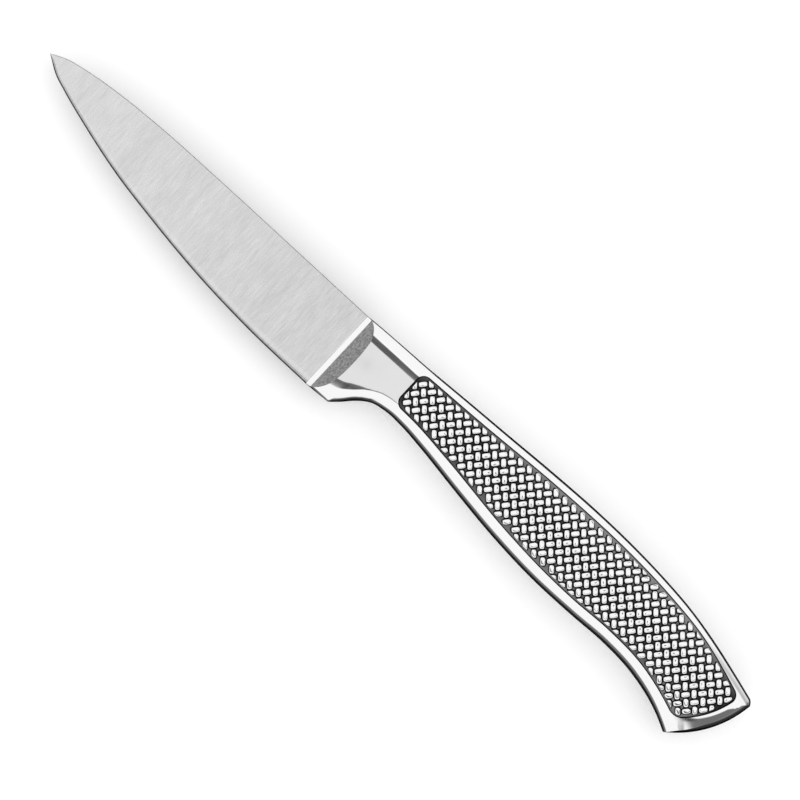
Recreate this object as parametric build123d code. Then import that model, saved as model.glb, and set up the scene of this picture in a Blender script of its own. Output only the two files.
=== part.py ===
from build123d import *
import os
from copy import copy
from math import atan, cos, hypot, radians, sin, sqrt, tan

# Paring knife with a welded hollow handle and an inlaid grip panel on each side.
# The shapes are worked out with the knife's point at the origin: X runs from the point
# to the butt, Y rises towards the spine and Z is the thickness, with 0 in its middle.
# At the end the whole knife is laid on its side, centred over its own origin.

# Blade
blade_length = 88.9  # point to the foot of the bolster's ramp
blade_depth = 19.6  # spine to cutting edge at the heel
spine_rise = 5.1  # spine above the point
spine_half = 1.0  # half thickness at the spine, at the heel
shoulder_half = 0.28  # half thickness where the flats meet the cutting bevel
point_half = 0.42  # half thickness at the point
bevel_angle = 22.0  # slope of each side of the cutting edge, degrees
bevel_height = 1.4  # height of the solid that grinds the cutting bevel
plunge_run = 1.0  # fillet in front of the ramp
tang_length = 13.0  # stub tang, from the end of the flats
tang_depth = 7.6
tang_half = 0.6
tang_centre = -0.4  # height of the tang's middle
tang_clearance = 0.05  # round the tang in the bolster's slot

# Bolster
ramp_run = 3.4  # ramp from its foot to the edge of the neck
ramp_angle = 49.0  # degrees
neck_half = 4.87  # half thickness of the neck at the ramp
neck_corner_run = 5.15  # ramp foot to the sharp corner under the neck
neck_length = 15.45  # ramp foot to the joint with the handle shells
spigot_length = 5.0  # register inside the shells
spigot_clearance = 0.1

# Handle
handle_length = 99.6  # joint with the bolster to the butt
handle_depth = 20.15  # greatest distance from back to belly
handle_half = 7.2  # greatest half thickness, on the crest
crown_share = 1.2903226  # roundness of the sides across, a share of the handle's depth
barrel_radius = 980.0  # roundness of the sides along the handle
crest_slope_share = -0.045  # fall of the crest line towards the butt
crest_place = 55.6  # thickest place behind the shells' front
crest_height_share = -0.1166253  # height of the crest line there, a share of the depth
edge_wall = 1.2  # shell wall at the back and belly
side_wall = 1.9  # shell wall under the crown, with the panel's recess in it

# Butt
butt_radius = 24.0  # sweep of the end, seen from the side
butt_dome_radius = 11.6  # roundness of the end across the thickness
butt_reach = 23.72  # handle's end to the axis of the butt's sweep
butt_axis_height = 2.64
dome_sweep = 75.0  # arc of the dome from the middle plane, degrees
butt_facet_start = 20.9  # radius where the end facet leaves the crown
butt_facet_bearing = -28.0  # bearing of the facet's middle, degrees
butt_facet_angle = 17.0  # fall of the facet, degrees
cap_thickness = 2.0
cap_plug = 2.2  # plug of the cap inside the shells
cap_clearance = 0.1

# Grip panel
panel_gap = 0.25  # dark joint line round the panel
panel_front = 0.4  # front of the panel behind the shells' front
panel_end_radius = 20.6  # end of the panel about the butt's axis
panel_corner = 1.8  # rounding of the panel's front corners
panel_end_corner = 1.5  # rounding of its rear corners
recess_depth = 1.1  # pocket in the shell, below the crown
ground_depth = 0.55  # ground between the pads, below the crown
barrel_steps = 16  # cones that follow the crown under the panel
pad_depth = 0.08  # tops of the pads, below the crown
pad_length = 1.66
pad_width = 0.95
pad_pitch = 2.506  # along a row
row_pitch = 2.582  # between rows of the same lean
pad_lean = 50.0  # lean of one set of pads, degrees
pad_counter_lean = 132.0  # lean of the other set
pad_border = 0.55  # bare margin inside the panel's outline
row_rise_share = 0.031  # climb of the rows towards the butt
row_shift_share = -0.023  # lean of the columns
pattern_start = 40.95  # one pad's middle behind the shells' front
pattern_height = -2.754  # and its height
pad_seat = 0.02  # joint under a pad
least_pad_share = 0.12  # smaller pieces of a pad at the margin are left out

# Balance weight
weight_start = 52.0  # behind the shells' front
weight_length = 13.0
weight_clearance = 0.1

overrun = 3.0  # how far cutting solids run past what they cut
cutter_height = 11.0  # height of cutting solids over the middle plane

# Outline of the blade: shares of the blade's length and of the rise or the drop
spine_shares = [
    (0.0, 0.0), (0.045, 0.327), (0.09, 0.498), (0.18, 0.714),
    (0.315, 0.876), (0.495, 0.945), (0.72, 0.975), (1.0, 1.0),
]
edge_shares = [
    (0.0, 0.0), (0.045, 0.172), (0.09, 0.271), (0.18, 0.434), (0.315, 0.637),
    (0.45, 0.774), (0.63, 0.914), (0.81, 0.985), (1.0, 0.995),
]

# Neck sections: place as a share of the neck's length, then back, belly, upper crease
# and lower crease as shares of the handle's depth, then half thicknesses at the upper
# crease, the middle and the lower crease as shares of the neck's half thickness
corner_share = neck_corner_run / neck_length
neck_front_shares = [
    (-0.065, 0.2545, -0.7146, 0.149, -0.581, 0.914, 0.986, 0.800),
    (0.136, 0.2640, -0.7082, 0.149, -0.551, 0.920, 0.996, 0.820),
    (corner_share, 0.2705, -0.6970, 0.149, -0.506, 0.945, 1.016, 0.852),
]
neck_rear_shares = [
    neck_front_shares[2],
    (0.460, 0.2740, -0.6050, 0.150, -0.432, 0.965, 1.031, 0.903),
    (0.589, 0.2770, -0.4990, 0.151, -0.340, 0.996, 1.053, 0.965),
    (0.751, 0.2810, -0.4040, 0.152, -0.265, 1.027, 1.088, 1.016),
]

# Handle sections: place as a share of the handle's length, then back, belly, upper
# crease and lower crease as shares of the handle's depth
handle_shares = [
    (0.0, 0.2868, -0.3560, 0.154, -0.218),
    (0.047, 0.3007, -0.3568, 0.190, -0.220),
    (0.107, 0.3176, -0.3881, 0.208, -0.243),
    (0.227, 0.3479, -0.4754, 0.241, -0.318),
    (0.348, 0.3797, -0.5529, 0.283, -0.396),
    (0.468, 0.3995, -0.5960, 0.300, -0.434),
    (0.588, 0.3926, -0.5931, 0.292, -0.436),
    (0.679, 0.3654, -0.5772, 0.265, -0.428),
    (0.769, 0.3156, -0.6124, 0.213, -0.462),
    (0.859, 0.2258, -0.7355, 0.127, -0.580),
    (0.930, 0.1330, -0.9130, 0.020, -0.735),
    (1.020, 0.0050, -1.1800, -0.130, -0.800),
]

# Panel outline: top and bottom edges, shares of the handle's length and depth
panel_top_shares = [
    (0.0, 0.205), (0.16, 0.235), (0.36, 0.288), (0.46, 0.303),
    (0.56, 0.303), (0.71, 0.258), (0.81, 0.189), (0.95, -0.015), (1.03, -0.16),
]
panel_bottom_shares = [
    (0.0, -0.215), (0.06, -0.222), (0.16, -0.273), (0.36, -0.402), (0.46, -0.439),
    (0.56, -0.447), (0.66, -0.427), (0.76, -0.457), (0.86, -0.586), (0.96, -0.80),
]

# Places worked out from the sizes
edge_drop = blade_depth - spine_rise
weld_x = blade_length - plunge_run
shell_x = blade_length + neck_length
butt_x = shell_x + handle_length
butt_axis_x = butt_x - butt_reach
flat_slope = (spine_half - shoulder_half) / blade_depth
heel_middle = spine_half - flat_slope * spine_rise
crest_angle = atan(crest_slope_share)
crest_x = shell_x + crest_place
crest_height = crest_height_share * handle_depth
crown_radius = crown_share * handle_depth
seat_radius = butt_radius - cap_thickness


def flat_half(x, y):
    """Half thickness of the blade's flats at a place."""
    return point_half + (heel_middle - point_half) * x / blade_length + flat_slope * y


def crown_half(x, y, depth=0.0):
    """Half thickness of the crowned side of the handle at a place, less a depth."""
    along = (x - crest_x) * cos(crest_angle) + (y - crest_height) * sin(crest_angle)
    across = (y - crest_height) * cos(crest_angle) - (x - crest_x) * sin(crest_angle)
    sag = barrel_radius - sqrt(barrel_radius**2 - along**2)
    reach = crown_radius - sag - depth
    return handle_half - crown_radius + sqrt(reach**2 - across**2)


def mirrored(shape):
    """The same shape on the other side of the middle plane."""
    return mirror(shape, about=Plane.XY)


def table_points(shares, x_start, length, height):
    """Points of an outline from a table of shares."""
    return [(x_start + along * length, share * height) for along, share in shares]


def half_section(x, back, belly, upper, lower, upper_half, middle, lower_half):
    """Half of a section across the handle: bevel, side and bevel over the middle plane."""
    plane = Plane(origin=(x, 0, 0), x_dir=(0, 1, 0), z_dir=(1, 0, 0))
    start = (back, 0)
    top = (upper, upper_half)
    bottom = (lower, lower_half)
    end = (belly, 0)
    edges = [
        TangentArc(start, top, tangent=(0, 1)),
        ThreePointArc(top, middle, bottom),
        TangentArc(end, bottom, tangent=(0, 1)),
        Line(end, start),
    ]
    return plane * make_face(edges)


def handle_loft():
    """Half of the handle's outer form, before its butt is rounded."""
    sections = []
    for along, back, belly, upper, lower in handle_shares:
        x = shell_x + along * handle_length
        y_upper = upper * handle_depth
        y_lower = lower * handle_depth
        y_middle = (y_upper + y_lower) / 2
        sections.append(half_section(
            x, back * handle_depth, belly * handle_depth, y_upper, y_lower,
            crown_half(x, y_upper), (y_middle, crown_half(x, y_middle)), crown_half(x, y_lower),
        ))
    return loft(sections)


def hollow(clearance=0.0):
    """Half of the hollow in the shells, drawn in by a clearance, with flat facets."""
    edge_inset = edge_wall + clearance
    side_inset = side_wall + clearance
    sections = []
    for along, back, belly, upper, lower in handle_shares:
        x = shell_x + along * handle_length
        y_upper = upper * handle_depth - edge_inset / 2
        y_lower = lower * handle_depth + edge_inset / 2
        y_middle = (y_upper + y_lower) / 2
        corners = Polyline(
            (back * handle_depth - edge_inset, 0),
            (y_upper, crown_half(x, y_upper, side_inset)),
            (y_middle, crown_half(x, y_middle, side_inset)),
            (y_lower, crown_half(x, y_lower, side_inset)),
            (belly * handle_depth + edge_inset, 0),
            close=True,
        )
        plane = Plane(origin=(x, 0, 0), x_dir=(0, 1, 0), z_dir=(1, 0, 0))
        sections.append(plane * make_face(corners))
    return loft(sections, ruled=True)


def neck_section(row):
    """One section of the neck from its row of shares."""
    along, back, belly, upper, lower, top, middle, bottom = row
    y_upper = upper * handle_depth
    y_lower = lower * handle_depth
    return half_section(
        blade_length + along * neck_length, back * handle_depth, belly * handle_depth,
        y_upper, y_lower, top * neck_half,
        ((y_upper + y_lower) / 2, middle * neck_half), bottom * neck_half,
    )


def front_section():
    """The section where the neck meets the handle shells."""
    along, back, belly, upper, lower = handle_shares[0]
    y_upper = upper * handle_depth
    y_lower = lower * handle_depth
    y_middle = (y_upper + y_lower) / 2
    return half_section(
        shell_x, back * handle_depth, belly * handle_depth, y_upper, y_lower,
        crown_half(shell_x, y_upper), (y_middle, crown_half(shell_x, y_middle)),
        crown_half(shell_x, y_lower),
    )


def barrel(depth):
    """Solid of revolution with short cones a depth below the crown of the handle."""
    top = crown_radius - depth
    rim = []
    for index in range(barrel_steps + 1):
        along = handle_length * (2 * index / barrel_steps - 1)
        rim.append((along, top - barrel_radius + sqrt(barrel_radius**2 - along**2)))
    outline = Polyline((-handle_length, 0), *rim, (handle_length, 0), close=True)
    plane = Plane(
        origin=(crest_x, crest_height, handle_half - crown_radius),
        x_dir=(cos(crest_angle), sin(crest_angle), 0),
        z_dir=(sin(crest_angle), -cos(crest_angle), 0),
    )
    return revolve(plane * make_face(outline), axis=Axis(plane.origin, plane.x_dir))


def before_cap(gap=0.0):
    """Everything in front of the cap's seat, over the middle plane."""
    length = butt_axis_x - shell_x + overrun
    block = Pos(butt_axis_x - length / 2, 0) * Rectangle(length, 6 * handle_depth)
    disc = Pos(butt_axis_x, butt_axis_height) * Circle(seat_radius - gap)
    return extrude(block + disc, amount=cutter_height)


def rear_block(x_start):
    """Everything behind a place, on both sides of the middle plane."""
    length = butt_x - x_start + overrun
    return Pos(x_start + length / 2, 0, 0) * Box(length, 6 * handle_depth, 2 * cutter_height)


def tang_block(clearance=0.0):
    """The stub tang, or the slot that takes it."""
    length = tang_length + clearance
    block = Box(length, tang_depth + 2 * clearance, 2 * (tang_half + clearance))
    return Pos(weld_x + length / 2, tang_centre, 0) * block


def blade():
    """Flat-ground blade with a cutting bevel and a stub tang."""
    spine = Spline(table_points(spine_shares, 0, weld_x, spine_rise))
    edge = Spline(table_points(edge_shares, 0, weld_x, -edge_drop))
    heel = Line(spine @ 1, edge @ 1)
    half = extrude(make_face([spine, edge, heel]), amount=cutter_height)
    normal = Vector(-(heel_middle - point_half) / blade_length, -flat_slope, 1)
    flat = Plane(origin=(0, 0, point_half), z_dir=normal)
    half = split(half, bisect_by=flat, keep=Keep.BOTTOM)
    half = half & bevel_solid(edge)
    return half + mirrored(half) + tang_block()


def bevel_solid(edge):
    """Solid whose sloping wall grinds the cutting bevel along the edge."""
    faces = []
    for height in (0.0, bevel_height):
        inset = height / tan(radians(bevel_angle))
        points = []
        count = len(edge_shares)
        for index in range(count):
            place = index / (count - 1)
            along = edge % place
            inward = Vector(-along.Y, along.X)
            points.append(edge @ place + inward * inset)
        points[-1] = Vector(weld_x, points[-1].Y)
        start = points[0] - (edge % 0) * blade_depth
        curve = Spline(points)
        faces.append(Pos(0, 0, height) * make_face([
            Line(start, points[0]),
            curve,
            Line(points[-1], (weld_x, blade_depth)),
            Line((weld_x, blade_depth), (start.X, blade_depth + start.Y)),
            Line((start.X, blade_depth + start.Y), start),
        ]))
    return loft(faces, ruled=True)


def ramp_solid():
    """Everything behind the bolster's fillet and ramp, on one side."""
    foot = flat_half(weld_x, 0)
    slope = tan(radians(ramp_angle))
    ramp_top = (blade_length + ramp_run, neck_half)
    meet_x = ramp_top[0] - (neck_half - foot) / slope
    tangent = meet_x - weld_x
    fillet_end = (meet_x + tangent * cos(radians(ramp_angle)),
                  foot + tangent * sin(radians(ramp_angle)))
    peak = (ramp_top[0] + (cutter_height - neck_half) / slope, cutter_height)
    back = shell_x + overrun
    outline = [
        TangentArc((weld_x, foot), fillet_end, tangent=(1, 0)),
        Line(fillet_end, peak),
        Line(peak, (back, cutter_height)),
        Line((back, cutter_height), (back, -overrun)),
        Line((back, -overrun), (weld_x, -overrun)),
        Line((weld_x, -overrun), (weld_x, foot)),
    ]
    plane = Plane(
        origin=(0, -2 * blade_depth, -2 * blade_depth * flat_slope),
        x_dir=(1, 0, 0), z_dir=(0, -1, 0),
    )
    run = 4 * blade_depth
    return extrude(plane * make_face(outline), amount=run, dir=(0, 1, flat_slope))


def spigot():
    """Half of the register behind the neck, which centres the shells."""
    return hollow(spigot_clearance) - rear_block(shell_x + spigot_length)


def bolster():
    """Neck with its ramp, the slot for the tang and the register for the shells."""
    front = loft([neck_section(row) for row in neck_front_shares])
    rear = loft([neck_section(row) for row in neck_rear_shares] + [front_section()])
    half = ((front + rear) & ramp_solid()) + spigot()
    return half + mirrored(half) - tang_block(tang_clearance)


def revolved_at_butt(outline):
    """Solid of revolution about the axis of the butt's sweep."""
    plane = Plane(origin=(butt_axis_x, butt_axis_height, 0), x_dir=(1, 0, 0), z_dir=(0, -1, 0))
    return revolve(plane * make_face(outline), axis=Axis(plane.origin, (0, 0, 1)))


def butt_dome():
    """Rounded end of the handle, about the axis of the butt's sweep."""
    centre = butt_radius - butt_dome_radius
    rim = CenterArc((centre, 0), butt_dome_radius, 0, dome_sweep)
    top = rim @ 1
    return revolved_at_butt([
        Line((0, 0), (butt_radius, 0)),
        rim,
        Line(top, (0, top.Y)),
        Line((0, top.Y), (0, 0)),
    ])


def butt_facet():
    """Cone that slopes the crown down behind the grip panel."""
    middle = radians(butt_facet_bearing)
    facet_x = butt_axis_x + butt_facet_start * cos(middle)
    facet_y = butt_axis_height + butt_facet_start * sin(middle)
    start_half = crown_half(facet_x, facet_y)
    slope = tan(radians(butt_facet_angle))
    reach = 2 * butt_radius
    low = start_half - (reach - butt_facet_start) * slope
    high = start_half + butt_facet_start * slope
    return revolved_at_butt([
        Line((0, -cutter_height), (reach, -cutter_height)),
        Line((reach, -cutter_height), (reach, low)),
        Line((reach, low), (0, high)),
        Line((0, high), (0, -cutter_height)),
    ])


def handle_form():
    """Half of the handle's outer form with its domed butt and the facet above it."""
    form = handle_loft()
    rear = rear_block(butt_axis_x)
    return (form - rear) + (form & rear & butt_facet() & butt_dome())


def panel_outline(inset=0.0):
    """Face of the grip panel seen from the side, drawn in by an inset all round."""
    front = shell_x + panel_front + inset
    top = Spline([
        (front + along * handle_length, share * handle_depth - inset)
        for along, share in panel_top_shares
    ])
    bottom = Spline([
        (front + along * handle_length, share * handle_depth + inset)
        for along, share in panel_bottom_shares
    ])
    field = make_face([top, Line(top @ 1, bottom @ 1), bottom, Line(bottom @ 0, top @ 0)])
    disc = Pos(butt_axis_x, butt_axis_height) * Circle(panel_end_radius - inset)
    length = butt_axis_x - front
    block = Pos(front + length / 2, 0) * Rectangle(length, 4 * handle_depth)
    outline = field & (disc + block)
    if panel_corner > inset:
        outline = fillet(outline.vertices().sort_by(Axis.X)[:2], panel_corner - inset)
    if panel_end_corner > inset:
        outline = fillet(outline.vertices().sort_by(Axis.X)[-2:], panel_end_corner - inset)
    return outline


def shell(form):
    """Half shell of the handle with the pocket for its grip panel."""
    pocket = extrude(panel_outline(-panel_gap), amount=cutter_height) - barrel(recess_depth)
    return (form - pocket - hollow()) & before_cap()


def butt_cap(form):
    """Domed cap behind the shells, with a plug that sits in their hollow."""
    plug = hollow(cap_clearance) & before_cap() - before_cap(cap_plug)
    half = (form - before_cap()) + plug
    return half + mirrored(half)


def balance_weight():
    """Slug shaped to the hollow of the handle."""
    start = shell_x + weight_start
    half = hollow(weight_clearance) & rear_block(start) - rear_block(start + weight_length)
    return half + mirrored(half)


def panel_ground():
    """Sheet at the bottom of the pocket, under the pads."""
    sheet = extrude(panel_outline(), amount=cutter_height)
    return (sheet & barrel(ground_depth)) - barrel(recess_depth)


def tangent_plane(x, y, depth, lean):
    """Plane that touches the crown at a depth, turned by the pad's lean."""
    step = pad_width
    here = crown_half(x, y, depth)
    rise_x = (crown_half(x + step, y, depth) - crown_half(x - step, y, depth)) / (2 * step)
    rise_y = (crown_half(x, y + step, depth) - crown_half(x, y - step, depth)) / (2 * step)
    lean_x = cos(radians(lean))
    lean_y = sin(radians(lean))
    along = (lean_x, lean_y, rise_x * lean_x + rise_y * lean_y)
    return Plane(origin=(x, y, here), x_dir=along, z_dir=(-rise_x, -rise_y, 1))


def pads():
    """Basket weave of raised pads, cut off along the panel's margin."""
    corner_reach = hypot(pad_length, pad_width) / 2
    margin = panel_outline(pad_border).faces()[0]
    whole = panel_outline(pad_border + corner_reach).faces()[0]
    reach = panel_outline(pad_border - corner_reach).faces()[0]
    height = ground_depth - pad_depth - pad_seat
    stud = Pos(0, 0, -height / 2) * Box(pad_length, pad_width, height)
    footprint = Rectangle(pad_length, pad_width)
    columns = int(handle_length / pad_pitch)
    rows = int(handle_depth / row_pitch)
    solids = []
    for step_share, lean in ((0, pad_counter_lean), (0.5, pad_lean)):
        for column in range(-columns, columns):
            for row in range(-rows, rows):
                along = (column + step_share) * pad_pitch
                up = (row + step_share) * row_pitch
                x = shell_x + pattern_start + along + row_shift_share * up
                y = pattern_height + up + row_rise_share * along
                middle = Vector(x, y, 0)
                if not reach.is_inside(middle):
                    continue
                whole_pad = tangent_plane(x, y, pad_depth, lean) * stud
                if whole.is_inside(middle):
                    solids += whole_pad.solids()
                    continue
                cut_face = Pos(x, y) * Rot(0, 0, lean) * footprint & margin
                for face in cut_face.faces() if cut_face else []:
                    if face.area > least_pad_share * pad_length * pad_width:
                        cutter = extrude(face, amount=cutter_height, both=True)
                        solids += (whole_pad & cutter).solids()
    return Compound(children=solids)


def laid_down(shape):
    """The shape in the finished knife's own place."""
    return Pos(-knife_middle.X, -knife_middle.Y, handle_rest) * shape


form = handle_form()
left_shell = shell(form)
left_ground = panel_ground()
left_pads = pads()
pieces = {
    "blade": blade(),
    "bolster": bolster(),
    "handle_shell_left": left_shell,
    "handle_shell_right": mirrored(left_shell),
    "panel_ground_left": left_ground,
    "panel_ground_right": mirrored(left_ground),
    "grip_pads_left": left_pads,
    "grip_pads_right": mirrored(left_pads),
    "butt_cap": butt_cap(form),
    "balance_weight": balance_weight(),
}

knife_box = Compound(children=[copy(piece) for piece in pieces.values()]).bounding_box()
knife_middle = knife_box.center()
handle_rest = -knife_box.min.Z

os.makedirs("parts", exist_ok=True)
for name, piece in pieces.items():
    export_step(laid_down(piece), f"parts/{name}.step")
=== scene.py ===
import math
import bmesh
import bpy
import numpy as np
from mathutils import Matrix, Vector


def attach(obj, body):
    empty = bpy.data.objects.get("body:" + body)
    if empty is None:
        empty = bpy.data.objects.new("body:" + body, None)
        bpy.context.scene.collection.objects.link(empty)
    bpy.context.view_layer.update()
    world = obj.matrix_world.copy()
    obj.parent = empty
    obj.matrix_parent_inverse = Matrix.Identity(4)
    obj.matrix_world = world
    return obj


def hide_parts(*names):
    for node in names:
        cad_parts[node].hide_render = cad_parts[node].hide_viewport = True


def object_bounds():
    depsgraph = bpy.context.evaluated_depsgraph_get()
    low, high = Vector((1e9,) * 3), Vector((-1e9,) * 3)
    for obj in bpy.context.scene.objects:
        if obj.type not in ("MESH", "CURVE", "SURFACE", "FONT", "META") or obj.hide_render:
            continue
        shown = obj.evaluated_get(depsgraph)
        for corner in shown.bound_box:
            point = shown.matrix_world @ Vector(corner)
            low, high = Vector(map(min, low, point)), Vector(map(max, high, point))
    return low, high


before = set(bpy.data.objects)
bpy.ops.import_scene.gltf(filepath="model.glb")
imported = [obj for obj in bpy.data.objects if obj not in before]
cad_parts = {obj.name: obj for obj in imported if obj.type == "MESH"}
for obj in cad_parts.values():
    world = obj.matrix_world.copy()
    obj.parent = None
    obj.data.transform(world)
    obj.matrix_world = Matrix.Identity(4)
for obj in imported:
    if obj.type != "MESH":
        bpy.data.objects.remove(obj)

cadBox = [list(map(float, corner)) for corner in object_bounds()]
scene = bpy.context.scene
mm = 0.001
sharpAngle = math.radians(28)  # edges turned more than this stay crisp

# Everything below is worked out in millimetres with the point of the knife at the origin:
# x runs to the butt, y to the spine, z is the thickness with 0 in the middle.

knife = {
    "bladeLength": 88.9, "plungeRun": 1.0, "neckLength": 15.45, "handleLength": 99.6,
    "handleDepth": 20.15, "handleHalf": 7.2, "crownRadius": 26.0, "barrelRadius": 980.0,
    "crestSlope": -0.045, "crestPlace": 55.6, "crestHeight": -2.35, "neckHalf": 4.87,
    "crownBlend": 6.0, "backCorner": 1.1, "jointGap": 0.002,
}
weldX = knife["bladeLength"] - knife["plungeRun"]
shellX = knife["bladeLength"] + knife["neckLength"]
depth = knife["handleDepth"]

# One row for each section: place, back, belly, upper crease, lower crease (shares of the
# handle's depth) and, in the neck, the half thicknesses at crease, middle and crease
neckRows = [
    (-0.065, 0.2545, -0.7146, 0.149, -0.581, 0.914, 0.986, 0.800),
    (0.136, 0.2640, -0.7082, 0.149, -0.551, 0.920, 0.996, 0.820),
    (0.3333, 0.2705, -0.6970, 0.149, -0.506, 0.945, 1.016, 0.852),
    (0.460, 0.2740, -0.6050, 0.150, -0.432, 0.965, 1.031, 0.903),
    (0.589, 0.2770, -0.4990, 0.151, -0.340, 0.996, 1.053, 0.965),
    (0.751, 0.2810, -0.4040, 0.152, -0.265, 1.027, 1.088, 1.016),
]
handleRows = [
    (0.0, 0.2868, -0.3560, 0.154, -0.218), (0.047, 0.3007, -0.3568, 0.190, -0.220),
    (0.107, 0.3176, -0.3881, 0.208, -0.243), (0.227, 0.3479, -0.4754, 0.241, -0.318),
    (0.348, 0.3797, -0.5529, 0.283, -0.396), (0.468, 0.3995, -0.5960, 0.300, -0.434),
    (0.588, 0.3926, -0.5931, 0.292, -0.436), (0.679, 0.3654, -0.5772, 0.265, -0.428),
    (0.769, 0.3156, -0.6124, 0.213, -0.462), (0.859, 0.2258, -0.7355, 0.127, -0.580),
    (0.930, 0.1330, -0.9130, 0.020, -0.735), (1.020, 0.0050, -1.1800, -0.130, -0.800),
]
cornerRow = 2  # the sharp corner under the neck splits the belly's curve here
cornerX = knife["bladeLength"] + neckRows[cornerRow][0] * knife["neckLength"]


# A smooth curve through points: cubic with slopes from the neighbours.
def curveThrough(xs, ys):
    xs, ys = np.array(xs, float), np.array(ys, float)
    steps = np.diff(ys) / np.diff(xs)
    slopes = np.empty(len(xs))
    slopes[0], slopes[-1] = steps[0], steps[-1]
    before, after = np.diff(xs)[:-1], np.diff(xs)[1:]
    slopes[1:-1] = (steps[:-1] * after + steps[1:] * before) / (before + after)

    def value(x):
        x = np.asarray(x, float)
        i = np.clip(np.searchsorted(xs, x) - 1, 0, len(xs) - 2)
        h = xs[i + 1] - xs[i]
        t = (x - xs[i]) / h
        return ((1 + 2 * t) * (1 - t) ** 2 * ys[i] + t * (1 - t) ** 2 * h * slopes[i]
                + t * t * (3 - 2 * t) * ys[i + 1] + t * t * (t - 1) * h * slopes[i + 1])
    return value


# Half thickness of the handle's crowned side, less a depth.
def crownHalf(x, y, below=0.0):
    angle = math.atan(knife["crestSlope"])
    crestX = shellX + knife["crestPlace"]
    along = (x - crestX) * math.cos(angle) + (y - knife["crestHeight"]) * math.sin(angle)
    across = (y - knife["crestHeight"]) * math.cos(angle) - (x - crestX) * math.sin(angle)
    sag = knife["barrelRadius"] - np.sqrt(knife["barrelRadius"] ** 2 - along ** 2)
    reach = knife["crownRadius"] - sag - below
    return knife["handleHalf"] - knife["crownRadius"] + np.sqrt(np.maximum(reach ** 2 - across ** 2, 1))


# A back curve whose last corner is rounded off.
def roundedBack(curve, end, radius):
    def value(x):
        into = np.clip((np.asarray(x, float) - (end - radius)) / radius, 0, 1)
        return curve(x) - radius * (1 - np.sqrt(1 - into * into))
    return value


# Curves for each column of the section rows along the knife.
def sectionTable():
    rows = [(knife["bladeLength"] + r[0] * knife["neckLength"],) + tuple(v * depth for v in r[1:5])
            + tuple(v * knife["neckHalf"] for v in r[5:]) for r in neckRows]
    for along, back, belly, upper, lower in handleRows:
        x = shellX + along * knife["handleLength"]
        up, low = upper * depth, lower * depth
        rows.append((x, back * depth, belly * depth, up, low, crownHalf(x, up),
                     crownHalf(x, (up + low) / 2), crownHalf(x, low)))
    columns = list(zip(*rows))
    curves = [curveThrough(columns[0], c) for c in columns[1:]]
    front = curveThrough(columns[0][:cornerRow + 1], columns[2][:cornerRow + 1])
    rear = curveThrough(columns[0][cornerRow:], columns[2][cornerRow:])
    curves[1] = lambda x: np.where(np.asarray(x) < cornerX, front(x), rear(x))
    curves[0] = roundedBack(curves[0], shellX + knife["handleLength"], knife["backCorner"])
    return curves


backAt, bellyAt, upperAt, lowerAt, upperHalfAt, middleHalfAt, lowerHalfAt = sectionTable()

butt = {
    "radius": 24.0, "domeRadius": 11.6, "reach": 23.72, "axisY": 2.64, "seatRadius": 22.0,
    "facetEase": 0.7, "searchFrom": 15.0, "searchRounds": 80,
    "facetBearings": [-60.0, -48.0, -44.0, -38.0, -28.0, -18.0, -13.0, -9.0, 0.0],
    "facetStarts": [20.6, 20.6, 20.6, 20.7, 20.8, 20.8, 21.5, 23.2, 25.0],
    "facetSlopes": [0.0, 0.0, 0.08, 0.14, 0.20, 0.25, 0.25, 0.25, 0.25],
}
buttX = shellX + knife["handleLength"] - butt["reach"]


# Distance of the domed end from the butt's axis at a height.
def domeRadiusAt(z):
    return butt["radius"] - butt["domeRadius"] + np.sqrt(np.maximum(butt["domeRadius"] ** 2 - z * z, 0))


# How far the crescent facet in front of the butt falls below the crown.
def facetDrop(x, y):
    bearing = np.degrees(np.arctan2(y - butt["axisY"], np.maximum(x - buttX, 0.1)))
    start = np.interp(bearing, butt["facetBearings"], butt["facetStarts"])
    into = np.maximum(np.hypot(x - buttX, y - butt["axisY"]) - start, 0) * (x > buttX)
    ease = butt["facetEase"]
    run = np.where(into < ease, into ** 2 / (2 * ease), into - ease / 2)
    return run * np.interp(bearing, butt["facetBearings"], butt["facetSlopes"])


bevelTurns = (19.0, 28.0)  # half of a bevel's turn: the least, and how flat its crease may get, degrees


# Half of a bevel's turn for the slope of its chord, so that it starts upright if it can.
def turnOf(slope):
    least, flattest = (math.radians(angle) for angle in bevelTurns)
    return np.minimum(math.pi / 2 - slope, np.maximum(least, slope - flattest))


# Point on a bevel arc from the outline to the crease, upright at the outline if it can be.
def bevelPoint(edge, crease, creaseHalf, t):
    run, rise = crease - edge, creaseHalf
    chord = np.hypot(run, rise)
    slope = np.arctan2(rise, np.abs(run))
    turn = turnOf(slope)
    radius = chord / (2 * np.sin(turn))
    start = slope + turn
    angle = start - 2 * turn * t
    inward = radius * (np.sin(start) - np.sin(angle))
    up = radius * (np.cos(angle) - np.cos(start))
    return edge + np.sign(run) * inward, up


neckEdge = {
    "upperRun": 2.0, "upperSlope": 17.5, "lowerSlope": 8.4, "ease": 0.7, "overlap": 0.22, "fade": 3.6,
    "lowerRuns": ([88.0, 93.0, 95.0, 96.5, 98.0, 99.5, 105.0], [2.3, 2.4, 2.4, 1.9, 1.1, 0.7, 0.6]),
}


# How far the neck's side falls away close to a crease.
def neckRoll(fromCrease, run, angle):
    into = np.maximum(run - fromCrease, 0)
    slope, ease = math.tan(math.radians(angle)), neckEdge["ease"]
    return np.where(into < ease, slope * into ** 2 / (2 * ease), slope * (into - ease / 2))


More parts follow.
